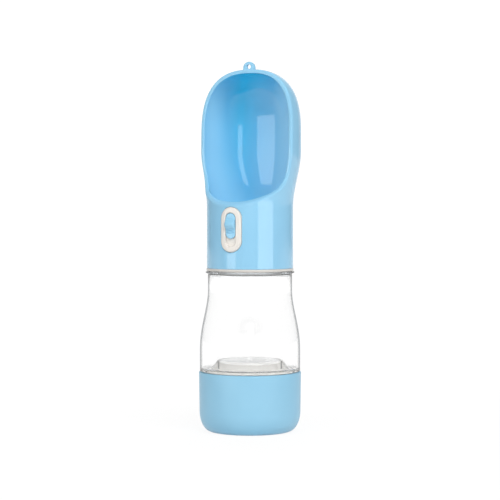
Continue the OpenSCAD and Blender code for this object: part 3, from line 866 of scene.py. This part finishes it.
def roof(name, grow, low, high):
    """The plan of the chamber, from the outlet back to the pipe, as an upright solid."""
    wide, narrow = outlet_room + grow, pipe_room + grow
    meet = math.acos(narrow / wide)
    plan = arc(wide, 0, -math.pi, 0, 32) + arc(wide, 0, 0, meet, 8)[1:]
    plan += arc(narrow, riser_y, 0, math.pi, 32) + arc(wide, 0, math.pi - meet, math.pi, 8)[:-1]
    plan = np.array(plan + plan[:1])
    middle = plan * 0 + (0, 5)
    rows = [(middle, low), (plan, low), (plan, high), (middle, high)]
    return wrapped(name, [np.column_stack([flat, np.full(len(plan), z)]) for flat, z in rows])


def rod(name, radius, low, high, rounding, place=(0, 0)):
    """An upright round rod whose upper edge is rounded."""
    corners = [(0, low, 0), (radius, low, 0), (radius, high, rounding), (0, high, 0)]
    return turned(name, rounded(corners), 64, place)


valve_cover = roof("valve_cover.form", roof_wall, deck_z, roof_top)
cut(valve_cover, rod("boss", 4, roof_top - 0.8, boss_top, 0.4), "UNION")
cut(valve_cover, rod("pipe", pipe_r, roof_top - 0.8, pipe_top, 0.2, (0, riser_y)), "UNION")
cut(valve_cover, roof("hollow", 0, deck_z - 1, deck_z + 3))
gland_r, gland_low, gland_high = 3.5, 132.15, 133.65
bore = [(0, deck_z), (guide_r, deck_z), (guide_r, gland_low), (gland_r, gland_low), (gland_r, gland_high)]
bore += [(guide_r, gland_high), (guide_r, boss_top + 0.6), (0, boss_top + 0.6)]
cut(valve_cover, turned("bore", bore, 64))
cut(valve_cover, rod("pipe_bore", riser_r, deck_z + 0.6, pipe_top + 1.7, 0, (0, riser_y)))
tell(valve_cover)

# %% [markdown]
# ## Carrier and spring
#
# The arm joins the slide to the stem. Its pad runs between the two ribs behind the grip's wall.
# The spring is a round wire with closed ends; it shortens when the tap opens. A curve with a round
# bevel could be the wire, but a grid of rings is closed at both ends and needs no conversion.

# %% The carrier
pad_half_w, pad_front, pad_back, pad_low = 4.5, -26.4, -24.4, 135.9
arm_half_w, hub_r, slip = 2.5, 4.2, 0.025
slide_carrier = block((-pad_half_w, pad_front, pad_low), (pad_half_w, pad_back, arm_high))
slide_carrier.name = "slide_carrier.form"
cut(slide_carrier, block((-arm_half_w, pad_back - 0.5, arm_low), (arm_half_w, 0, arm_high)), "UNION")
cut(slide_carrier, rod("hub", hub_r, arm_low, arm_high, 0), "UNION")
peg_low, peg_high = arm_low - 1.6, arm_low + 0.5
peg_outline = rounded([(0, peg_low, 0), (peg_r, peg_low, 0.4), (peg_r, peg_high, 0), (0, peg_high, 0)])
cut(slide_carrier, turned("carrier_peg", peg_outline, 48, (0, spring_y)), "UNION")
cut(slide_carrier, rod("stem_hole", tail_r + 2 * slip, arm_low - 0.9, arm_high + 0.7, 0))
slip_low = (-tongue_half_w - slip, pad_front - 1, tongue_low - slip)
slip_high = (tongue_half_w + slip, pad_back + 3, tongue_high + slip)
cut(slide_carrier, block(slip_low, slip_high))
tell(slide_carrier)

# %% The return spring
wire_r = 0.3
coil_r = 2.7
spring_low, spring_high = 128.7, 139.6
coils = 6
stations = np.linspace(0, 1, 48 * coils + 1)
closed = 0.75 / coils
lift = np.clip((stations - closed) / (1 - 2 * closed), 0, 1)
dead = 2 * wire_r * 0.75
first_coil, last_coil = np.clip(stations / closed, 0, 1), np.clip((stations - 1 + closed) / closed, 0, 1)
helix_z = spring_low + dead * first_coil + dead * last_coil + (spring_high - spring_low - 2 * dead) * lift
section = np.linspace(0, 2 * math.pi, 13)
wire_rows = []
for t, z in zip(stations, helix_z):
    a = 2 * math.pi * coils * t
    wire = np.outer(coil_r + wire_r * np.cos(section), [math.cos(a), math.sin(a), 0])
    wire += np.outer(wire_r * np.sin(section), [0, 0, 1])
    wire_rows.append(wire + [0, spring_y, z])
start, end = [np.tile(row.mean(0), (len(section), 1)) for row in (wire_rows[0], wire_rows[-1])]
return_spring = wrapped("return_spring.form", [start, *wire_rows, end])
tell(return_spring)
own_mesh(return_spring)

# %% [markdown]
# ## Materials
#
# Each material is a chain of nodes that says how the real surface was made. Sizes are worked out
# from millimetres, and colours are written as sRGB codes and made linear in one place.

# %% Helpers for materials


def linear(code):
    """An sRGB code such as #9acde5 as the linear colour that a shader works with."""
    values = [int(code[i : i + 2], 16) / 255 for i in (1, 3, 5)]
    return tuple(v / 12.92 if v <= 0.04045 else ((v + 0.055) / 1.055) ** 2.4 for v in values) + (1,)


def add(tree, kind, inputs=(), **settings):
    """Adds a node with its settings; inputs are (socket or plain value, input's name) pairs."""
    made = tree.nodes.new(kind)
    for name, value in settings.items():
        if hasattr(made, name):
            setattr(made, name, value)
        else:
            made.inputs[name.replace("_", " ")].default_value = value
    for source, name in inputs:
        if isinstance(source, bpy.types.NodeSocket):
            tree.links.new(source, made.inputs[name])
        else:
            made.inputs[name].default_value = source
    return made


def per_mm(size):
    """Noise scale whose features are about that many millimetres wide."""
    return 1 / (size * MM)


def shader(name, **sockets):
    """A new material with a principled shader, and the object's own coordinates."""
    material = bpy.data.materials.new(name)
    material.use_nodes = True
    tree = material.node_tree
    surface = tree.nodes["Principled BSDF"]
    for socket, value in sockets.items():
        surface.inputs[socket.replace("_", " ")].default_value = value
    place = add(tree, "ShaderNodeTexCoord").outputs
    return material, tree, surface.inputs, place


def two_tone(tree, amount, stops, colours):
    """A colour that goes from the first to the second as an amount passes between two stops."""
    ramp = add(tree, "ShaderNodeValToRGB", [(amount, "Fac")])
    for element, stop, colour in zip(ramp.color_ramp.elements, stops, colours):
        element.position, element.color = stop, linear(colour)
    return ramp.outputs["Color"]


def skin(tree, surface, pattern, rough, relief_um):
    """Lets one pattern vary the gloss between two roughnesses and raise a faint relief."""
    gloss = add(tree, "ShaderNodeMapRange", [(pattern, "Value")], To_Min=rough[0], To_Max=rough[1])
    relief = add(tree, "ShaderNodeBump", [(pattern, "Height")], Distance=relief_um * 1e-6, Strength=1.0)
    tree.links.new(gloss.outputs["Result"], surface["Roughness"])
    tree.links.new(relief.outputs["Normal"], surface["Normal"])


def moulded(name, tones, shift_mm, rough, grain_mm, grain_um, **sockets):
    """Moulded plastic: a faint drift of colour, a gloss that varies, and a fine surface grain."""
    material, tree, surface, place = shader(name, **sockets)
    drift = add(tree, "ShaderNodeTexNoise", [(place["Object"], "Vector")], Scale=per_mm(shift_mm), Detail=2.0)
    grain = add(tree, "ShaderNodeTexNoise", [(place["Object"], "Vector")], Scale=per_mm(grain_mm), Detail=3.0)
    tree.links.new(two_tone(tree, drift.outputs["Fac"], (0.3, 0.7), tones), surface["Base Color"])
    skin(tree, surface, grain.outputs["Fac"], rough, grain_um)
    return material


# %% [markdown]
# ### Plastics
#
# The shapes are injection moulded, so each plastic shows the surface of its mould. The colour of
# each drifts by a shade that nobody would notice, and yet a part without it looks painted by a
# computer. Glossy, satin and dull differ only in the roughness and in how wide the grain is. The
# grain of an eroded mould is a few hundredths of a millimetre wide. That is too fine to show here,
# so it is drawn about ten times as coarse.

# %% Plastic materials
paints = {}
# a polished mould: only a long, faint waviness breaks the lamps' reflections
paints["scoop_abs"] = moulded(
    "glossy ABS, injection moulded", ("#93ccec", "#97d0ef"), 30, (0.05, 0.08), 7, 3, IOR=1.53
)
# the slide is touched all day, so its reflections are soft and small scratches don't show
paints["button_abs"] = moulded(
    "semi-gloss ABS, injection moulded", ("#94ceec", "#99d2f0"), 20, (0.2, 0.26), 1, 2, IOR=1.53
)
# an eroded mould gives the cup an even, silky shine with no clear reflection
paints["cup_pp"] = moulded(
    "satin polypropylene, spark-eroded mould", ("#95cce8", "#9ad0eb"), 25, (0.34, 0.42), 0.35, 5, IOR=1.49
)
# the frame is a warm white with a broad, soft highlight on its crowned face
paints["white_abs"] = moulded(
    "cream ABS, polished mould", ("#e8e3dc", "#ece7e0"), 20, (0.22, 0.28), 1.5, 2, IOR=1.53
)
# the cap is the same plastic from a plain mould, so it is duller; its greyer colour is a painted shade for
# the head's shadow over its ring
cap_white_painted_shade = moulded("cream ABS, plain mould", ("#d8d4ce", "#dcd8d2"), 20, (0.3, 0.38), 1, 3, IOR=1.53)
# sliding parts are of a hard, waxy white
paints["white_acetal"] = moulded(
    "white acetal, machined mould", ("#dedbd4", "#e4e1da"), 12, (0.36, 0.44), 0.5, 3, IOR=1.48
)
# rubber is nearly black and matt
paints["dark_rubber"] = moulded(
    "black nitrile rubber, moulded", ("#383c40", "#3f4347"), 5, (0.5, 0.6), 0.2, 6, IOR=1.5
)
# light goes a millimetre or two into silicone, which makes it look milky
paints["silicone"] = moulded(
    "translucent silicone, moulded", ("#e6eaec", "#eef1f2"), 8, (0.42, 0.5), 0.4, 3, IOR=1.41,
    Subsurface_Weight=0.6, Subsurface_Scale=0.0015, Subsurface_Radius=(1, 1, 1),
)
print("plastics:", ", ".join(paint.name for paint in paints.values()))

# %% [markdown]
# ### The scoop's inner wall: painted shade and painted light
#
# The scoop is dyed through and a little translucent. Light that bounces about inside it grows
# bluer at every bounce, so the real wall looks a deeper shade in the middle and under the crown
# than at its sides, and the wall that faces left looks pale from the bright one opposite. Here this
# light and shade are painted into the wall's colour: its direction and height set a painted shade,
# and the wall that faces left gets a painted light. A renderer that follows many bounces through
# the plastic could do this by itself, but slowly. Painting it is quick and gives the same every time.

# %% The material of the scoop's inner wall, with painted shade and painted light
scoop_inside_painted_shade, tree, surface, place = shader("glossy ABS, inside the scoop", IOR=1.53)
waviness = add(tree, "ShaderNodeTexNoise", [(place["Object"], "Vector")], Scale=per_mm(7), Detail=3.0)
skin(tree, surface, waviness.outputs["Fac"], (0.05, 0.08), 3)

# painted shade: pale at the sides, deeper in the middle, deepest under the crown
painted_shade_tones = ("#a0d8f4", "#6ec3ec", "#3fc3ef")
across_view = (0.9, 0.44, 0)
facing = add(tree, "ShaderNodeVectorMath", [(place["Normal"], 0), (across_view, 1)], operation="DOT_PRODUCT")
facing = facing.outputs["Value"]
to_side = add(tree, "ShaderNodeMath", [(facing, 0)], operation="ABSOLUTE").outputs[0]
inwards = add(
    tree, "ShaderNodeMapRange", [(to_side, "Value")], From_Min=0.05, From_Max=0.85, To_Min=1, To_Max=0
).outputs["Result"]
height = add(tree, "ShaderNodeSeparateXYZ", [(place["Object"], 0)]).outputs["Z"]
upwards = add(
    tree, "ShaderNodeMapRange", [(height, "Value")], From_Min=0.15, From_Max=0.24, To_Min=0.35, To_Max=1
).outputs["Result"]
painted_shade_amount = add(tree, "ShaderNodeMath", [(inwards, 0), (upwards, 1)], operation="MULTIPLY")
shades = add(tree, "ShaderNodeValToRGB", [(painted_shade_amount.outputs[0], "Fac")])
shades.color_ramp.elements.new(0.5)
for element, colour in zip(shades.color_ramp.elements, painted_shade_tones):
    element.color = linear(colour)
# painted light: the wall that faces left is made pale, as if lit by the bright wall opposite
lit = add(tree, "ShaderNodeMapRange", [(facing, "Value")], From_Min=-0.5, From_Max=-0.95)
painted_light_mix = add(
    tree, "ShaderNodeMix", [(lit.outputs["Result"], 0), (shades.outputs["Color"], 6), (linear("#b6e5fb"), 7)],
    data_type="RGBA",
)
tree.links.new(painted_light_mix.outputs[2], surface["Base Color"])
print("inner wall from", painted_shade_tones[0], "at the sides to", painted_shade_tones[-1], "under the crown")

# %% [markdown]
# ### Clear wall and steel
#
# The bottle is clear copolyester. Light passes it, bends at each face, and its blow-moulded wall
# has a slight waviness. The thin dark outline where the eye looks along the wall is a painted
# shade: a facing weight darkens the colour there, and only the outer skin has a dark one. The
# collar's thick flange, the punt and the pocket underneath get a painted grey at their edges the same way.
#
# The underside is eroded, so it scatters light and looks white. It is made opaque here, with a
# faint glow in place of the light that a renderer loses behind clear plastic. The raised floor
# bends light so little that the white pocket under it is seen at its true place.
#
# The spring and the snap ring are drawn and stamped stainless steel, with streaks along the wire.
# Real streaks are too fine to show, so these are a quarter of a millimetre wide.

# %% Clear and metal materials


def clear_wall(name, tints, waves_mm, rough, **sockets):
    """Clear plastic with one tint face on and a painted shade where the eye looks along the wall."""
    material, tree, surface, place = shader(name, **sockets)
    along = add(tree, "ShaderNodeLayerWeight", Blend=0.5).outputs["Facing"]
    tree.links.new(two_tone(tree, along, (0.66, 0.77), tints), surface["Base Color"])
    waves = add(tree, "ShaderNodeTexNoise", [(place["Object"], "Vector")], Scale=per_mm(waves_mm), Detail=1.0)
    skin(tree, surface, waves.outputs["Fac"], rough, 10)
    return material


def clear_skin(name, tints, ior=1.5):
    """The parts of the bottle that can be seen through: smooth, with long waves."""
    return clear_wall(name, tints, 9, (0.01, 0.02), IOR=ior, Transmission_Weight=1.0)


def eroded_skin(name, tints, glow):
    """The dull white underside, with a faint glow in place of the light that is lost."""
    glows = {"Emission_Color": linear("#fffdf8"), "Emission_Strength": glow}
    return clear_wall(name, tints, 0.4, (0.45, 0.65), IOR=1.5, **glows)


paints["clear_plastic"] = clear_skin("clear copolyester, blow moulded", ("#ffffff", "#fafcfd"))
finishes = [
    clear_skin("clear copolyester, outer skin", ("#ffffff", "#3a4044")),
    eroded_skin("clear copolyester, eroded pocket", ("#fbfaf6", "#77797a"), 0),
    eroded_skin("clear copolyester, eroded heel", ("#fffefc", "#f4f3f0"), 0.1),
    clear_skin("clear copolyester, thin punt", ("#ffffff", "#b9bcbe"), 1.1),
    eroded_skin("clear copolyester, eroded ceiling", ("#ffffff", "#ffffff"), 0.2),
    clear_skin("clear copolyester, thick flange", ("#e7eef3", "#566068")),
]

steel_grey = linear("#c9ccce")
steel, tree, surface, place = shader("stainless steel, drawn wire", Metallic=1.0, Base_Color=steel_grey)
streaks = add(tree, "ShaderNodeMapping", [(place["Object"], "Vector")], Scale=(1, 1, 6)).outputs["Vector"]
drawn = add(tree, "ShaderNodeTexNoise", [(streaks, "Vector")], Scale=per_mm(0.25), Detail=2.0)
gloss = add(tree, "ShaderNodeMapRange", [(drawn.outputs["Fac"], "Value")], To_Min=0.18, To_Max=0.32)
tree.links.new(gloss.outputs["Result"], surface["Roughness"])
paints["stainless"] = steel
print("clear and metal:", ", ".join(finish.name for finish in (*finishes, steel)))

# %% [markdown]
# ## Every piece in its place
#
# The frame's record says on which body each part moves and which finish it takes. Each new piece
# stands for the engineering part of the same name. The bottle and the head then get their further
# finishes, face by face, by the numbers found above.

# %% Ride, replace and paint
slots = {row["node"]: row["material_slot"] for row in frame["record"]["subparts"]}
made = [head_shell, hanging_eye, slider_bezel, slide_button, food_cup, bottle, inner_cap]
made += [cup_gasket, neck_gasket, riser_seal, stem_seal, valve_stem, valve_plug, stem_clip]
made += [valve_cover, slide_carrier, return_spring]
for piece in made:
    part = piece.name.replace(".form", "")
    piece.data.materials.clear()
    piece.data.materials.append(paints[slots[part]])
    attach(piece, frame["nodes"][part]["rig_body"])
    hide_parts(part)
# the cap takes the duller cream with a painted shade
inner_cap.data.materials[0] = cap_white_painted_shade
for finish in finishes:
    bottle.data.materials.append(finish)
bottle.data.polygons.foreach_set("material_index", bottle_finish)
head_shell.data.materials.append(scoop_inside_painted_shade)
head_shell.data.polygons.foreach_set("material_index", scoop_painted_shade_faces)
print("pieces:", len(made), "of", len(frame["nodes"]))

# %% [markdown]
# ## Floor and sky
#
# The object stands on white. A floor that is only lit would be grey near the object, so rays from
# the camera, and those that gloss and clear plastic send on, mostly find a floor that glows white,
# and the rest of it keeps the object's soft shadow. Light path rays decide it.
#
# Gloss is another matter. In a room that is white all round, glossy plastic looks chalky. So the
# rays that gloss mirrors find a darker room in front of the object, as in a real studio, and white
# only behind it. Rays that pass clear plastic count as glossy too, and are taken out again.

# %% Floor and sky
camera_turn = math.radians(26)
to_camera = Vector((math.sin(camera_turn), -math.cos(camera_turn), 0))


def largest(tree, *values):
    """The largest of several values."""
    result = values[0]
    for value in values[1:]:
        result = add(tree, "ShaderNodeMath", [(result, 0), (value, 1)], operation="MAXIMUM").outputs[0]
    return result


def mirrored_only(tree, rays):
    """1 for rays mirrored by gloss, 0 for all others, also for those bent by the clear wall."""
    pair = [(rays["Is Glossy Ray"], 0), (rays["Is Transmission Ray"], 1)]
    return add(tree, "ShaderNodeMath", pair, operation="SUBTRACT", use_clamp=True).outputs[0]


white_level = 1.04
bpy.ops.mesh.primitive_plane_add(size=8)
floor = bpy.context.object
floor.name = "floor"
paper, tree, surface, place = shader(
    "white paper sweep", Base_Color=(0.8, 0.8, 0.8, 1), Roughness=0.9, Specular_IOR_Level=0
)
rays = add(tree, "ShaderNodeLightPath").outputs
reach = add(tree, "ShaderNodeVectorMath", [(place["Object"], 0)], operation="LENGTH").outputs["Value"]
white = add(
    tree, "ShaderNodeMapRange", [(reach, "Value")], interpolation_type="SMOOTHSTEP",
    From_Min=0.04, From_Max=0.4, To_Min=0.88, To_Max=1.0,
)
seen = largest(tree, rays["Is Camera Ray"], rays["Is Glossy Ray"], rays["Is Transmission Ray"])
share = add(tree, "ShaderNodeMath", [(seen, 0), (white.outputs["Result"], 1)], operation="MULTIPLY")
ahead = add(tree, "ShaderNodeVectorMath", [(place["Object"], 0), (to_camera, 1)], operation="DOT_PRODUCT")
in_front = add(
    tree, "ShaderNodeMapRange", [(ahead.outputs["Value"], "Value")],
    From_Min=0.1, From_Max=0.5, To_Min=white_level, To_Max=0.5,
)
level = add(
    tree, "ShaderNodeMix", [(mirrored_only(tree, rays), 0), (white_level, 2), (in_front.outputs["Result"], 3)]
)
glow = add(tree, "ShaderNodeEmission", [(level.outputs[0], "Strength")])
lit_paper = tree.nodes["Principled BSDF"].outputs[0]
mix = add(tree, "ShaderNodeMixShader", [(share.outputs[0], "Fac"), (lit_paper, 1), (glow.outputs[0], 2)])
tree.links.new(mix.outputs[0], tree.nodes["Material Output"].inputs["Surface"])
floor.data.materials.append(paper)

world = bpy.data.worlds.new("studio")
bpy.context.scene.world = world
world.use_nodes = True
tree = world.node_tree
sky = tree.nodes["Background"]
sky.inputs["Color"].default_value = (1, 1, 1, 1)
rays = add(tree, "ShaderNodeLightPath").outputs
way = add(tree, "ShaderNodeTexCoord").outputs["Generated"]
onwards = add(tree, "ShaderNodeVectorMath", [(way, 0), (-to_camera, 1)], operation="DOT_PRODUCT")
behind = add(
    tree, "ShaderNodeMapRange", [(onwards.outputs["Value"], "Value")],
    From_Min=0.7, From_Max=0.95, To_Min=0.3, To_Max=white_level,
)
seen = largest(tree, rays["Is Camera Ray"], rays["Is Transmission Ray"])
plain = add(tree, "ShaderNodeMapRange", [(seen, "Value")], To_Min=0.4, To_Max=1.08)
level = add(
    tree, "ShaderNodeMix",
    [(mirrored_only(tree, rays), 0), (plain.outputs["Result"], 2), (behind.outputs["Result"], 3)],
)
tree.links.new(level.outputs[0], sky.inputs["Strength"])
print("sky: 0.4 as light, 0.3 in gloss, white to the camera")

# %% [markdown]
# ## Lamps
#
# What the eye reads on glossy plastic is the lamps it mirrors. Each bright band of the photograph
# was followed back by the law of mirrors: the angle and the height of the band on the round grip,
# and on the hollow scoop, tell where the lamp has to stand and how tall it is. Three strips do
# this. They are low, because the grip mirrors what stands level with it.
#
# The even light comes from three large lamps above, which gloss doesn't see: the key on the right,
# a weaker fill on the left and one behind. A small dark card, seen only in gloss, takes the right
# strip's patch out of the dome.

# %% Lamps


def softbox(name, start_deg, end_deg, low, high, radiance, distance=1.3, in_gloss=True):
    """A soft rectangular lamp between two angles to the right of the camera and two heights."""
    a = camera_turn + math.radians(start_deg + end_deg) / 2
    lamp = bpy.data.lights.new(name, "AREA")
    lamp.shape = "RECTANGLE"
    lamp.size = 2 * distance * math.tan(math.radians(end_deg - start_deg) / 2)
    lamp.size_y = high - low
    lamp.energy = radiance * math.pi * lamp.size * lamp.size_y
    placed = bpy.data.objects.new(name, lamp)
    bpy.context.collection.objects.link(placed)
    placed.location = (distance * math.sin(a), -distance * math.cos(a), (low + high) / 2)
    aim = Vector((0, 0, min(0.13, (low + high) / 2))) - placed.location
    placed.rotation_euler = aim.to_track_quat("-Z", "Y").to_euler()
    placed.visible_glossy = in_gloss
    print(f"{name}: {lamp.size:.2f} x {lamp.size_y:.2f} m, {lamp.energy:.2f} W")


softbox("right strip", 21, 63, 0, 0.165, 2.6)
softbox("left strip", -63, -38, 0, 0.27, 2.6)
softbox("strip behind the camera", -5, 8, 0.155, 0.5, 2.6)
softbox("key", 2, 46, 0.7, 1.5, 4.5, 1.1, in_gloss=False)
softbox("fill", -52, -8, 0.7, 1.5, 1.45, 1.1, in_gloss=False)
softbox("back light", 155, 205, 0.7, 1.5, 2.2, 1.1, in_gloss=False)

# %% The dark card
card_w, card_h = 0.062, 0.02
card_turn = camera_turn + math.radians(34)
card_distance, card_z = 0.124, 0.203
bpy.ops.mesh.primitive_plane_add(size=1)
card = bpy.context.object
card.name = "dark_card"
card.scale = (card_w, card_h, 1)
card.rotation_euler = (math.pi / 2, 0, card_turn)
card.location = (card_distance * math.sin(card_turn), -card_distance * math.cos(card_turn), card_z)
bpy.ops.object.transform_apply(location=True, rotation=True, scale=True)
velvet = shader(
    "black velvet", Base_Color=(0.01, 0.01, 0.01, 1), Emission_Color=(1, 1, 1, 1), Emission_Strength=0.3
)[0]
card.data.materials.append(velvet)
card.visible_camera = card.visible_diffuse = card.visible_transmission = card.visible_shadow = False
print(f"dark card: {card_w / MM:.0f} x {card_h / MM:.0f} mm")

# %% [markdown]
# ## Camera
#
# The camera's distance, height and lens come from fitting the object's outline to the photograph.
# A long lens from a little over a metre keeps the upright lines nearly parallel.

# %% Camera
eye_distance, eye_z, look_z = 1.2, 0.161, 0.1256
camera = bpy.data.cameras.new("camera")
camera.lens = 124.6
camera.sensor_width = 36
view = bpy.data.objects.new("camera", camera)
bpy.context.collection.objects.link(view)
view.location = eye_distance * to_camera + Vector((0, 0, eye_z))
view.rotation_euler = (Vector((0, 0, look_z)) - view.location).to_track_quat("-Z", "Y").to_euler()
bpy.context.scene.camera = view
bpy.context.scene.view_settings.view_transform = "Standard"
print(f"camera: {camera.lens:.1f} mm lens, {eye_distance} m away, {eye_z} m above the table")
